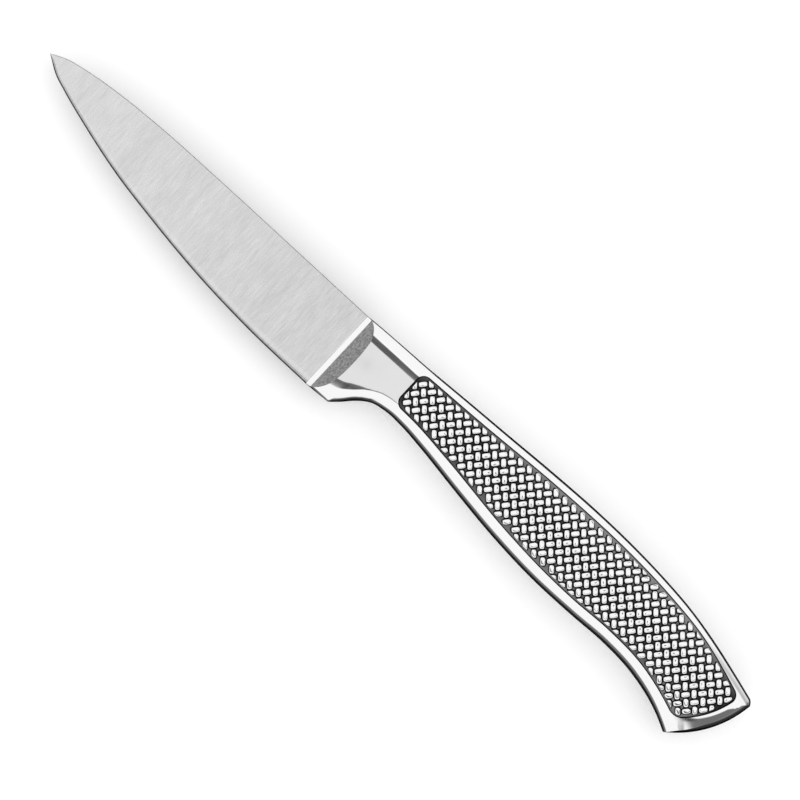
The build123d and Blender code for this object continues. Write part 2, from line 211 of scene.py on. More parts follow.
# Half thickness of the side between the creases.
def sidePoint(x, y):
    up, low = upperAt(x), lowerAt(x)
    mid = (up + low) / 2
    zUp, zMid, zLow = upperHalfAt(x), middleHalfAt(x), lowerHalfAt(x)
    neck = (zUp * (y - mid) * (y - low) / ((up - mid) * (up - low))
            + zMid * (y - up) * (y - low) / ((mid - up) * (mid - low))
            + zLow * (y - up) * (y - mid) / ((low - up) * (low - mid)))
    share = np.clip((x - (shellX - knife["crownBlend"])) / knife["crownBlend"], 0, 1)
    z = neck * (1 - share) + crownHalf(x, y) * share
    lowerRun = np.interp(x, *neckEdge["lowerRuns"])
    roll = (neckRoll(up - y, neckEdge["upperRun"], neckEdge["upperSlope"])
            + neckRoll(y - low, lowerRun, neckEdge["lowerSlope"]))
    left = np.clip((shellX + neckEdge["fade"] - x) / (neckEdge["fade"] - neckEdge["overlap"]), 0, 1)
    return z - roll * left * left * (3 - 2 * left) - facetDrop(x, y)


grid = {
    "bevelSteps": 14, "sideSteps": 60, "neckSteps": 60, "rampSteps": 24, "shellSteps": 300,
    "frontRun": 0.6, "frontStep": 0.06, "capRows": 9, "domeRows": 13,
}
across = 2 * grid["bevelSteps"] + grid["sideSteps"] + 1
steps = np.arange(across)


# Point on the outer form at place x and step v round it.
def surface(x, v):
    bevelSteps, sideSteps = grid["bevelSteps"], grid["sideSteps"]
    v = np.asarray(v, float)
    end = 2 * bevelSteps + sideSteps
    topShare, lowShare = np.clip(v / bevelSteps, 0, 1), np.clip((end - v) / bevelSteps, 0, 1)
    yTop, zTop = bevelPoint(backAt(x), upperAt(x), sidePoint(x, upperAt(x)), topShare)
    yLow, zLow = bevelPoint(bellyAt(x), lowerAt(x), sidePoint(x, lowerAt(x)), lowShare)
    share = np.clip((v - bevelSteps) / sideSteps, 0, 1)
    ySide = upperAt(x) * (1 - share) + lowerAt(x) * share
    y = np.where(v <= bevelSteps, yTop, np.where(v >= end - bevelSteps, yLow, ySide))
    z = np.where(v <= bevelSteps, zTop, np.where(v >= end - bevelSteps, zLow, sidePoint(x, ySide)))
    return y, z


# Half thickness of the outer form at a place seen from the side.
def halfAt(x, y):
    z = sidePoint(x, y)
    for edge, crease in ((backAt(x), upperAt(x)), (bellyAt(x), lowerAt(x))):
        rise = sidePoint(x, crease)
        run = np.abs(crease - edge)
        slope = np.arctan2(rise, run)
        turn = turnOf(slope)
        radius = np.hypot(run, rise) / (2 * np.sin(turn))
        inward = np.clip(np.abs(y - edge), 0, run)
        angle = np.arcsin(np.clip(np.sin(slope + turn) - inward / radius, -1, 1))
        bevel = radius * (np.cos(angle) - np.cos(slope + turn))
        beyond = (y - crease) * np.sign(edge - crease) > 0
        z = np.where(beyond, bevel, z)
    return z


outlineTop = [(0.0, 0.205), (0.16, 0.235), (0.36, 0.288), (0.46, 0.303), (0.56, 0.303),
              (0.71, 0.258), (0.81, 0.189), (0.95, -0.015), (1.03, -0.16)]
outlineBottom = [(0.0, -0.215), (0.06, -0.222), (0.16, -0.273), (0.36, -0.402), (0.46, -0.439),
                 (0.56, -0.447), (0.66, -0.427), (0.76, -0.457), (0.86, -0.586), (0.96, -0.80)]
panel = {
    "front": 0.42, "endRadius": 20.3, "corner": 1.8, "endCorner": 1.5, "gap": 0.25,
    "recess": 1.0, "ground": 0.52, "margin": 0.3, "snap": 2.0, "satinRun": 0.62, "slopeStep": 0.05,
}


# Signed distance to the panel's outline drawn in by an inset, negative inside.
def panelDistance(x, y, inset):
    front = shellX + panel["front"]
    top, low = (curveThrough(*zip(*[(front + a * knife["handleLength"], b * depth) for a, b in outline]))
                for outline in (outlineTop, outlineBottom))
    step = panel["slopeStep"]

    def lean(curve):
        return np.cos(np.arctan((curve(x + step) - curve(x - step)) / (2 * step)))

    ahead = front - x
    above, below = (y - top(x)) * lean(top), (low(x) - y) * lean(low)
    farInside = -50.0  # in front of the butt's axis the end doesn't count
    beyond = np.where(x > buttX, np.hypot(x - buttX, y - butt["axisY"]) - panel["endRadius"], farInside)

    def cornered(a, b, radius):
        a, b = a + radius, b + radius
        return np.minimum(np.maximum(a, b), 0) + np.hypot(np.maximum(a, 0), np.maximum(b, 0)) - radius

    beside = np.maximum(above, below)
    foreEnd = cornered(ahead, beside, panel["corner"])
    rearEnd = cornered(beyond, beside, panel["endCorner"])
    return np.maximum(foreEnd, rearEnd) + inset


# Moves points that lie within a reach of the outline onto it.
def onOutline(x, y, inset, reach, rounds=4):
    x, y = np.array(x, float), np.array(y, float)
    near = np.abs(panelDistance(x, y, inset)) < reach
    step, leastSize = 0.02, 0.2
    for _ in range(rounds):
        away = panelDistance(x, y, inset)
        slopeX = (panelDistance(x + step, y, inset) - away) / step
        slopeY = (panelDistance(x, y + step, inset) - away) / step
        size = np.maximum(slopeX * slopeX + slopeY * slopeY, leastSize)
        x = np.where(near, x - away * slopeX / size, x)
        y = np.where(near, y - away * slopeY / size, y)
    return x, y


handleXs = np.linspace(shellX, shellX + knife["handleLength"], 2000)
middleY = float(np.max(backAt(handleXs))) - cadBox[1][1] / mm
middleX = -cadBox[0][0] / mm
middleZ = (cadBox[0][2] + cadBox[1][2]) / 2 / mm


# Points in the finished knife's own place, in metres.
def placed(points, side=1):
    points = np.array(points, float).reshape(-1, 3)
    return np.clip((points * (1, 1, side) + (-middleX, -middleY, middleZ)) * mm, cadBox[0], cadBox[1])


# Merges doubled points, turns every face outwards and shades smooth except at crisp edges.
def weld(mesh):
    work = bmesh.new()
    work.from_mesh(mesh)
    bmesh.ops.remove_doubles(work, verts=work.verts, dist=1e-7)
    bmesh.ops.dissolve_degenerate(work, edges=work.edges, dist=1e-8)
    loose = [vert for vert in work.verts if not vert.link_faces]
    bmesh.ops.delete(work, geom=loose, context="VERTS")
    bmesh.ops.recalc_face_normals(work, faces=work.faces)
    work.to_mesh(mesh)
    work.free()
    mesh.shade_smooth()
    mesh.set_sharp_from_angle(angle=sharpAngle)


# A mesh as a piece of the knife, which stands for a node of the solids.
def addPiece(name, mesh, replaced):
    piece = bpy.data.objects.new(name, mesh)
    scene.collection.objects.link(piece)
    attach(piece, "root")
    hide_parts(replaced)


# A piece from points, faces and the number of each face's material.
def makePiece(name, shape, materials, replaced, side=1):
    points, faces, marks = shape
    mesh = bpy.data.meshes.new(name)
    faces = [tuple(reversed(f)) for f in faces] if side < 0 else [tuple(f) for f in faces]
    mesh.from_pydata([tuple(p) for p in placed(points, side)], [], faces)
    for material in materials:
        mesh.materials.append(material)
    mesh.polygons.foreach_set("material_index", marks)
    mesh.validate()
    weld(mesh)
    addPiece(name, mesh, replaced)


# Several lists of points, faces and material numbers as one.
def joined(parts):
    points, faces, marks = [], [], []
    for part in parts:
        start = len(points)
        points += [tuple(p) for p in part[0]]
        faces += [tuple(i + start for i in f) for f in part[1]]
        marks += list(part[2]) if len(part) > 2 else [0] * len(part[1])
    return points, faces, marks


# Quads of a grid whose points are listed row by row.
def gridFaces(rows, columns):
    return [(r * columns + c, (r + 1) * columns + c, (r + 1) * columns + c + 1, r * columns + c + 1)
            for r in range(rows - 1) for c in range(columns - 1)]


# A half and its mirror image as one list.
def bothSides(half):
    points, faces, marks = half
    other = [(x, y, -z) for x, y, z in points]
    return joined([(points, faces, marks), (other, [tuple(reversed(f)) for f in faces], marks)])


# Materials: brightness of the darkest and the lightest grain, and roughness

finishes = {
    "bladeSatin": {"levels": (0.52, 0.94), "gloss": 0.26},
    # the honed edge, bevel and spine-corner steels are the blade steel with painted shade: darker levels
    # stand in for the shade on those steep faces
    "honedEdge": {"levels": (0.02, 0.12), "gloss": 0.3},
    "edgeBevel": {"levels": (0.35, 0.75), "gloss": 0.35},
    "spineBreak": {"levels": (0.12, 0.30), "gloss": 0.35},
    "polishedSteel": {"levels": (0.92, 0.95), "gloss": 0.06},
    "neckSatin": {"levels": (0.72, 0.80), "gloss": 0.10},
    "rampMatt": {"levels": (0.20, 0.50), "gloss": 0.42},
    "padSteel": {"levels": (0.90, 1.0), "gloss": 0.05},
    # darkFill's lighter level towards the panel's long sides, and the distances where it starts and ends,
    # are a painted sheen
    "darkFill": {"levels": (0.004, 0.035), "gloss": 0.45, "paintedSheen": 0.22, "sheenFrom": 5.4, "sheenTo": 51.0},
    # painted shade: near-black for the pad and pocket walls, in place of the shadow round each pad
    "blackLacquer": {"levels": (0.002, 0.008), "gloss": 0.5},
}


# A socket that can be used in sums.
class Maths:
    def __init__(self, made, socket):
        self.made, self.socket = made, socket

    def join(self, other, operation, swapped=False):
        first, second = (other, self) if swapped else (self, other)
        return self.made.node("ShaderNodeMath", {"operation": operation}, {0: first, 1: second})

    def __add__(self, other):
        return self.join(other, "ADD")

    def __sub__(self, other):
        return self.join(other, "SUBTRACT")

    def __rsub__(self, other):
        return self.join(other, "SUBTRACT", True)

    def __mul__(self, other):
        return self.join(other, "MULTIPLY")

    __radd__, __rmul__ = __add__, __mul__


# Builds the nodes of one material, or of a tree that is there already.
class MaterialMaker:
    def __init__(self, name, tree=None):
        if tree is None:
            self.material = bpy.data.materials.new(name)
            self.material.use_nodes = True
            tree = self.material.node_tree
            self.shader = tree.nodes["Principled BSDF"]
        self.tree = tree

    def node(self, kind, settings=None, values=None, output=0):
        made = self.tree.nodes.new(kind)
        for key, value in (settings or {}).items():
            if key == "stops":
                elements = made.color_ramp.elements
                for index, (place, colour) in enumerate(value):
                    stop = elements[index] if index < 2 else elements.new(place)
                    stop.position, stop.color = place, colour
            else:
                setattr(made, key, value)
        for key, value in (values or {}).items():
            value = getattr(value, "socket", value)
            if isinstance(value, bpy.types.NodeSocket):
                self.tree.links.new(value, made.inputs[key])
            else:
                made.inputs[key].default_value = value
        return Maths(self, made.outputs[output])

    # Every output of a node.
    def outputs(self, kind, values=None):
        made = self.node(kind, None, values).socket.node
        return {socket.name: Maths(self, socket) for socket in made.outputs}

    def noise(self, scale, stretch=(1, 1, 1), detail=3.0, roughness=0.55):
        coordinates = self.node("ShaderNodeTexCoord", output=3)
        mapped = self.node("ShaderNodeMapping", None, {"Vector": coordinates, "Scale": stretch})
        return self.node("ShaderNodeTexNoise", None, {
            "Vector": mapped, "Scale": scale, "Detail": detail, "Roughness": roughness})

    def shade(self, **values):
        for key, value in values.items():
            socket = self.shader.inputs[key.replace("_", " ")]
            value = getattr(value, "socket", value)
            if isinstance(value, bpy.types.NodeSocket):
                self.tree.links.new(value, socket)
            else:
                socket.default_value = value

    def bump(self, height, strength, distance):
        self.shade(Normal=self.node("ShaderNodeBump", None, {
            "Height": height, "Strength": strength, "Distance": distance}))

    def mix(self, share, first, second):
        made = self.tree.nodes.new("ShaderNodeMix")
        made.data_type = "RGBA"
        self.tree.links.new(getattr(share, "socket", share), made.inputs[0])
        for index, value in ((6, first), (7, second)):
            if isinstance(value, Maths):
                self.tree.links.new(value.socket, made.inputs[index])
            else:
                made.inputs[index].default_value = value
        return Maths(self, made.outputs[2])


# Colours of the darkest and the lightest grain, and the roughness of a finish.
def finishOf(name, tint=1.0):
    finish = finishes[name]
    low, high = ((level, level, level * tint, 1) for level in finish["levels"])
    return low, high, finish["gloss"]


# Satin blade steel with fine grinding lines from edge to spine; the copies for the honed edge, the bevel
# and the spine corner are darker as painted shade.
def bladeMaterial(name):
    m = MaterialMaker(name)
    lines = m.noise(1700.0, (1.0, 0.14, 0.14), 4.0, 0.65)
    broad = m.noise(170.0, (1.0, 0.06, 0.06), 3.0)
    low, high, gloss = finishOf(name, 1.005)
    m.shade(Metallic=1.0, Roughness=gloss + 0.2 * (lines - 0.5),
            Base_Color=m.mix(lines * 0.65 + broad * 0.35, low, high))
    m.bump(lines, 0.15, 0.00004)
    return m.material


# Polished stainless steel with faint wipe marks.
def polishedMaterial(name):
    m = MaterialMaker(name)
    wipes = m.noise(90.0, (1.0, 0.5, 0.5), 4.0)
    low, high, gloss = finishOf(name, 0.998)
    m.shade(Metallic=1.0, Roughness=gloss + 0.06 * wipes, Base_Color=m.mix(wipes, low, high))
    m.bump(wipes, 0.03, 0.00002)
    return m.material


# Ramp left matt and darker by the grinding wheel.
def rampMaterial(name):
    m = MaterialMaker(name)
    grain = m.noise(2100.0, (1, 1, 1), 3.0, 0.7)
    spread = m.node("ShaderNodeMapRange", None, {0: grain, 1: 0.36, 2: 0.64})
    low, high, gloss = finishOf(name, 1.01)
    m.shade(Metallic=1.0, Roughness=gloss + 0.2 * grain, Base_Color=m.mix(spread, low, high))
    m.bump(grain, 0.25, 0.00004)
    return m.material


# Polished tops of the raised pads.
def padMaterial(name):
    m = MaterialMaker(name)
    wear = m.noise(900.0)
    low, high, gloss = finishOf(name)
    m.shade(Metallic=1.0, Roughness=gloss + 0.06 * wear, Base_Color=m.mix(wear, low, high))
    m.bump(wear, 0.06, 0.00002)
    return m.material


# Dark fill between the pads, with painted sheen: lighter towards the panel's long sides, where it would
# mirror more light.
def groundMaterial(name):
    m = MaterialMaker(name)
    grain = m.noise(1500.0)
    place = m.outputs("ShaderNodeSeparateXYZ", {0: m.node("ShaderNodeTexCoord", output=3)})
    angle = math.atan(knife["crestSlope"])
    along = place["X"] * (1 / mm) + (middleX - shellX - knife["crestPlace"])
    up = place["Y"] * (1 / mm) + (middleY - knife["crestHeight"])
    fromCrest = up * math.cos(angle) - along * math.sin(angle)
    finish = finishes[name]
    # painted sheen: the fill turns lighter the further it lies from the crest
    paintedSheen = m.node("ShaderNodeMapRange", None, {
        0: fromCrest * fromCrest, 1: finish["sheenFrom"], 2: finish["sheenTo"]})
    low, high, gloss = finishOf(name, 1.01)
    light = finish["paintedSheen"]
    m.shade(Metallic=0.0, Roughness=gloss + 0.25 * grain, Specular_IOR_Level=0.15,
            Base_Color=m.mix(paintedSheen, m.mix(grain, low, high), (light, light, light * 1.01, 1)))
    m.bump(grain, 0.2, 0.00004)
    return m.material


# Painted shade: near-black on the walls of the pads and of the pocket, standing in for the shadow round
# each pad and in the panel's gap.
def blackMaterial(name):
    m = MaterialMaker(name)
    grain = m.noise(1200.0)
    low, high, gloss = finishOf(name)
    m.shade(Metallic=0.0, Roughness=gloss + 0.2 * grain, Specular_IOR_Level=0.15,
            Base_Color=m.mix(grain, low, high))
    m.bump(grain, 0.1, 0.00003)
    return m.material


bladeSteelShades = [bladeMaterial(name) for name in ("bladeSatin", "honedEdge", "edgeBevel", "spineBreak")]
polished, neckSatin = polishedMaterial("polishedSteel"), polishedMaterial("neckSatin")
rampMatt, padSteel = rampMaterial("rampMatt"), padMaterial("padSteel")
darkFill, black = groundMaterial("darkFill"), blackMaterial("blackLacquer")
print("materials made")

# Blade: flat ground sides, a narrow honed edge and a spine with its corners broken

bladeForm = {
    "spine": ([0.0, 0.045, 0.09, 0.18, 0.315, 0.495, 0.72, 1.0],
              [0.0, 0.327, 0.498, 0.714, 0.876, 0.945, 0.975, 1.0]),
    "edge": ([0.0, 0.045, 0.09, 0.18, 0.315, 0.45, 0.63, 0.81, 1.0],
             [0.0, 0.172, 0.271, 0.434, 0.637, 0.774, 0.914, 0.985, 0.995]),
    "rise": 5.1, "drop": 14.5, "pointHalf": 0.42, "heelHalf": 0.8127, "slope": 0.03673,
    "honed": 0.32, "honedShare": 0.45, "bevel": 0.68, "spineBreak": 0.13, "spineDrop": 0.3,
    "rows": 260, "columns": 16, "tipCrowding": 1.5,
    # towards the point these are at most shares of the blade's width
    "mostHoned": 0.12, "mostBevel": 0.3, "mostBreak": 0.1, "leastSpine": 0.1,
}


# One side of the blade: honed edge, bevel, ground side, broken corner and spine.
def bladeHalf():
    f = bladeForm
    t = np.linspace(0, 1, f["rows"] + 1) ** f["tipCrowding"]
    x = t * weldX
    top = curveThrough(*f["spine"])(t) * f["rise"]
    low = curveThrough(*f["edge"])(t) * -f["drop"]
    wide = top - low

    def flat(y):
        thicker = (f["heelHalf"] - f["pointHalf"]) * x / knife["bladeLength"]
        return f["pointHalf"] + thicker + f["slope"] * y

    honed = np.minimum(f["honed"], wide * f["mostHoned"])
    bevel = np.minimum(f["bevel"], wide * f["mostBevel"])
    corner = np.minimum(f["spineBreak"], wide * f["mostBreak"])
    lines = [(low, low * 0), (low + honed, flat(low) * f["honedShare"])]
    for i in range(f["columns"] + 1):
        y = low + bevel + (wide - bevel - corner) * (i / f["columns"])
        lines.append((y, flat(y)))
    lines.append((top, np.maximum(flat(top) - f["spineDrop"], f["leastSpine"])))
    lines.append((top, top * 0))
    points = np.stack([np.stack([x, y, z], 1) for y, z in lines], 1)
    heel = np.concatenate([points[-1] * (1, 1, 0), points[-1]])
    # painted shade: the honed edge, the bevel and the broken spine corner get the darker copies of the
    # steel
    bands = [1, 2] + [0] * f["columns"] + [3, 3]
    return joined([(points.reshape(-1, 3), gridFaces(len(points), len(lines)), bands * f["rows"]),
                   (heel, gridFaces(2, len(lines)))])


makePiece("blade_satin", bothSides(bladeHalf()), bladeSteelShades, "blade")
print("blade made")

# Bolster: the matt ramp behind the blade and the neck with its satin sides

ramp = {"run": 3.4, "angle": 49.0, "footZ": 0.8079, "slopeY": 0.03673, "footRun": 0.15, "reach": 6.0,
        "halvings": 40}


# Height of the fillet and ramp behind the blade.
def rampHalf(x, y):
    slope = math.tan(math.radians(ramp["angle"]))
    meetX = knife["bladeLength"] + ramp["run"] - (knife["neckHalf"] - ramp["footZ"]) / slope
    tangent = meetX - weldX
    radius = tangent / math.tan(math.radians(ramp["angle"] / 2))
    run = np.clip(x - weldX, 0, radius * math.sin(math.radians(ramp["angle"])))
    fillet = ramp["footZ"] + radius - np.sqrt(radius ** 2 - run ** 2)
    line = ramp["footZ"] + (x - meetX) * slope
    edge = weldX + radius * math.sin(math.radians(ramp["angle"]))
    return np.where(x < edge, fillet, line) + ramp["slopeY"] * y


# Ramp and neck on one side, with the ramp's crisp upper edge on a row of its own.
def bolsterHalf():
    low, high = np.full(across, weldX), np.full(across, weldX + ramp["reach"])
    y0, z0 = surface(low, steps)
    starts = z0 < rampHalf(low, y0)
    for _ in range(ramp["halvings"]):
        middle = (low + high) / 2
        y, z = surface(middle, steps)
        inside = z > rampHalf(middle, y)
        low, high = np.where(inside, middle, low), np.where(inside, high, middle)
    edge = np.where(starts, weldX, low)
    rows = []
    for i in range(grid["neckSteps"] + 1):
        x = edge + (shellX - knife["jointGap"] - edge) * (i / grid["neckSteps"])
        y, z = surface(x, steps)
        rows.append(np.stack([x, y, z], 1))
    column = np.arange(across - 1)
    side = (column >= grid["bevelSteps"]) & (column < grid["bevelSteps"] + grid["sideSteps"])
    parts = [(np.concatenate(rows), gridFaces(len(rows), across), list(2 * side) * grid["neckSteps"])]
    yEdge = rows[0][:, 1]
    foot = np.minimum(edge, knife["bladeLength"] + ramp["footRun"])
    rampRows = []
    for start, end, first in ((weldX, foot, 0), (foot, edge, 1)):
        for i in range(first, grid["rampSteps"] + 1):
            x = start + (end - start) * (i / grid["rampSteps"])
            z = np.minimum(rampHalf(x, yEdge), np.where(starts, rows[0][:, 2], np.inf))
            rampRows.append(np.stack([x, yEdge, z], 1))
    ring = grid["rampSteps"] * (across - 1)
    parts.append((np.concatenate(rampRows), gridFaces(len(rampRows), across), [0] * ring + [1] * ring))
    parts.append((np.concatenate([rampRows[0] * (1, 1, 0), rampRows[0]]), gridFaces(2, across)))
    parts.append((np.concatenate([rows[-1], rows[-1] * (1, 1, 0)]), gridFaces(2, across)))
    return joined(parts)


makePiece("bolsterSteel", bothSides(bolsterHalf()), [polished, rampMatt, neckSatin],
          "bolster")
print("bolster made")

# Handle shells: rows lean over from straight across at the neck to the sweep of the butt


# Row of points where the outer form meets a sweep about the butt's axis.
def buttRow(radius):
    x = np.full(across, buttX + butt["searchFrom"])
    for _ in range(butt["searchRounds"]):
        y, z = surface(x, steps)
        target = buttX + np.sqrt(np.maximum(radius(z) ** 2 - (y - butt["axisY"]) ** 2, 1))
        x = (x + target) / 2
    y, z = surface(x, steps)
    return np.stack([x, y, z], 1)


# Where the shells meet the cap.
def seatRow():
    return buttRow(lambda z: np.full(np.shape(z), butt["seatRadius"]))


# All rows of one shell from the bolster to the cap's seat, close together at the front.
def shellGrid():
    end = seatRow()[:, 0]
    front = np.arange(0, grid["frontRun"], grid["frontStep"]) / (end.max() - shellX)
    shares = np.concatenate([front, np.linspace(front[-1], 1, grid["shellSteps"])[1:]])
    rows = [shellX + (end - shellX) * share for share in shares]
    return np.array([np.stack([x, *surface(x, steps)], 1) for x in rows])


# The rows with the cells inside the panel's outline, whose border is moved onto it.
def fitted(rows, inset):
    x, y, z = (rows[..., i].copy() for i in range(3))
    midX, midY = (x[:-1, :-1] + x[1:, 1:]) / 2, (y[:-1, :-1] + y[1:, 1:]) / 2
    hole = panelDistance(midX, midY, inset) < 0
    touched = np.zeros(x.shape, int)
    for dr in (0, 1):
        for dc in (0, 1):
            touched[dr:x.shape[0] - 1 + dr, dc:x.shape[1] - 1 + dc] += hole
    rim = (touched > 0) & (touched < 4)
    rim[0], rim[-1] = False, False
    rimX, rimY = onOutline(x[rim], y[rim], inset, panel["snap"])
    x[rim], y[rim] = rimX, rimY
    z[rim] = halfAt(rimX, rimY)
    index = np.arange(x.size).reshape(x.shape)
    inside, outside = [], []
    for r in range(x.shape[0] - 1):
        for c in range(x.shape[1] - 1):
            face = (index[r, c], index[r + 1, c], index[r + 1, c + 1], index[r, c + 1])
            (inside if hole[r, c] else outside).append(tuple(int(i) for i in face))
    return np.stack([x, y, z], 2), inside, outside


# Edges that only one of the faces has.
def borders(faces):
    edges = set((a, b) for f in faces for a, b in zip(f, f[1:] + f[:1]))
    return [(a, b) for a, b in edges if (b, a) not in edges]


# Outer wall of one shell with the pocket for its panel.
def shellHalf(rows):
    shape, inside, faces = fitted(rows, -panel["gap"])
    top = shape.reshape(-1, 3)
    used = sorted(set(i for f in inside for i in f))
    low = {old: new + len(top) for new, old in enumerate(used)}
    flat = top[used]
    floor = np.column_stack([flat[:, :2], crownHalf(flat[:, 0], flat[:, 1], panel["recess"])])
    bright = len(faces)
    faces += [tuple(low[i] for i in f) for f in inside]
    faces += [(b, a, low[a], low[b]) for a, b in borders(inside)]
    satinEnd = shellX + panel["satinRun"]  # the neck's satin side runs on to the panel
    firstColumn, lastColumn = grid["bevelSteps"], across - 1 - grid["bevelSteps"]
    satin = [top[f[2], 0] < satinEnd and firstColumn <= f[0] % across < lastColumn for f in faces[:bright]]
    # the pocket's floor and walls take the near-black painted shade of the panel's gap
    marks = [2 * int(flag) for flag in satin] + [1] * (len(faces) - bright)
    parts = [(np.concatenate([top, floor]), faces, marks)]
    for line in (shape[0], shape[-1]):
        parts.append((np.concatenate([line * (1, 1, 0), line]), gridFaces(2, across)))
    outline = np.concatenate([shape[:, 0], shape[-1, 1:-1], shape[::-1, -1], shape[0, -2:0:-1]]) * (1, 1, 0)
    parts.append((outline, [tuple(range(len(outline)))]))
    return joined(parts)


# Sheet that lies in the pocket under the pads.
def groundHalf(rows):
    shape, inside, _ = fitted(rows, 0.0)
    used = sorted(set(i for f in inside for i in f))
    low = {old: new for new, old in enumerate(used)}
    flat = shape.reshape(-1, 3)[used]
    layers = [np.column_stack([flat[:, :2], crownHalf(flat[:, 0], flat[:, 1], panel[level])])
              for level in ("ground", "recess")]
    size = len(used)
    faces = [tuple(low[i] for i in f) for f in inside]
    faces += [tuple(i + size for i in reversed(f)) for f in faces]
    faces += [(low[b], low[a], low[a] + size, low[b] + size) for a, b in borders(inside)]
    return np.concatenate(layers), faces, [0] * len(faces)


# The strip behind the cap's seat and the domed end.
def capHalf():
    start = seatRow()[:, 0]
    rim = buttRow(domeRadiusAt)
    rows = []
    for share in np.linspace(0, 1, grid["capRows"]):
        px = start + (rim[:, 0] - start) * share
        py, pz = surface(px, steps)
        rows.append(np.stack([px, py, pz], 1))
    rows[-1] = rim
    parts = [(np.concatenate(rows), gridFaces(len(rows), across))]
    dome = []
    for share in np.linspace(0, 1, grid["domeRows"]):
        pz = rim[:, 2] * math.cos(share * math.pi / 2)
        px = buttX + np.sqrt(np.maximum(domeRadiusAt(pz) ** 2 - (rim[:, 1] - butt["axisY"]) ** 2, 1))
        dome.append(np.stack([px, rim[:, 1], pz], 1))
    parts.append((np.concatenate(dome), gridFaces(len(dome), across)))
    parts.append((np.concatenate([rows[0] * (1, 1, 0), rows[0]]), gridFaces(2, across)))
    return joined(parts)


shellRows = shellGrid()
shellShape, groundShape = shellHalf(shellRows), groundHalf(shellRows)
for side, word in ((1, "left"), (-1, "right")):
    makePiece("shell_" + word, shellShape, [polished, black, neckSatin],
              "handle_shell_" + word, side)
    makePiece("ground_" + word, groundShape, [darkFill], "panel_ground_" + word, side)
makePiece("cap_steel", bothSides(capHalf()), [polished], "butt_cap")
print("shells, ground sheets and cap made")

# The weight inside the handle keeps its own mesh
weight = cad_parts["balance_weight"]
weight.data.materials.clear()
weight.data.materials.append(rampMatt)

# Grip pads: one rounded pad, placed by Geometry Nodes on a basket-weave lattice

pads = {
    "length": 1.72, "width": 1.04, "height": 0.42, "pitch": 2.506, "rowPitch": 2.582,
    "lean": 50.0, "counterLean": 132.0, "startX": 40.95, "startY": -2.754, "rise": 0.031,
    "shift": -0.023, "top": 0.09, "squareness": 4.2, "leastShare": 0.3,
    "reach": 0.34, "snap": 3.0, "snapRounds": 6, "slopeStep": 0.5, "sides": 14, "wallRings": 2,
    "rings": [(1.40, -1.0), (1.38, -0.9), (1.01, -0.36), (0.92, -0.13), (0.60, -0.057), (0.30, -0.014)],
}
padSizes = {"Pad Length": "length", "Pad Width": "width", "Pad Height": "height"}


# A rounded pad one unit long, wide and high, with its top in the origin's plane.
def padMesh():
    rings, sides, power = pads["rings"], pads["sides"], pads["squareness"]
    points = []
    for size, level in rings:
        for i in range(sides):
            angle = 2 * math.pi * (i + 0.5) / sides
            c, s = math.cos(angle), math.sin(angle)
            reach = 0.5 * size * (abs(c) ** power + abs(s) ** power) ** (-1 / power)
            points.append((reach * c, reach * s, level))
    top, bottom = len(points), len(points) + 1
    points += [(0, 0, 0), (0, 0, -1)]
    walls, crown = [], []
    for r in range(len(rings) - 1):
        band = walls if r < pads["wallRings"] else crown
        for i in range(sides):
            j = (i + 1) % sides
            band.append((r * sides + i, r * sides + j, (r + 1) * sides + j, (r + 1) * sides + i))
    last = (len(rings) - 1) * sides
    for i in range(sides):
        j = (i + 1) % sides
        crown.append((last + i, last + j, top))
        walls.append((j, i, bottom))
    mesh = bpy.data.meshes.new("padShape")
    mesh.from_pydata(points, [], walls + crown)
    mesh.shade_smooth()
    # the crown faces are marked for steel; the walls take the near-black painted shade
    bare = mesh.attributes.new("bare", "BOOLEAN", "FACE")
    bare.data.foreach_set("value", [False] * len(walls) + [True] * len(crown))
    return bpy.data.objects.new("padShape", mesh)


# Middles and leans of all the pads of one panel.
def padPlaces():
    places = []
    columns, rows = int(knife["handleLength"] / pads["pitch"]), int(depth / pads["rowPitch"])
    for half, lean in ((0.0, pads["counterLean"]), (0.5, pads["lean"])):
        for column in range(-columns, columns):
            for row in range(-rows, rows):
                along, up = (column + half) * pads["pitch"], (row + half) * pads["rowPitch"]
                x = shellX + pads["startX"] + along + pads["shift"] * up
                y = pads["startY"] + up + pads["rise"] * along
                if panelDistance(np.array([x]), np.array([y]), panel["margin"])[0] < pads["reach"]:
                    places.append((x, y, lean))
    return np.array(places)


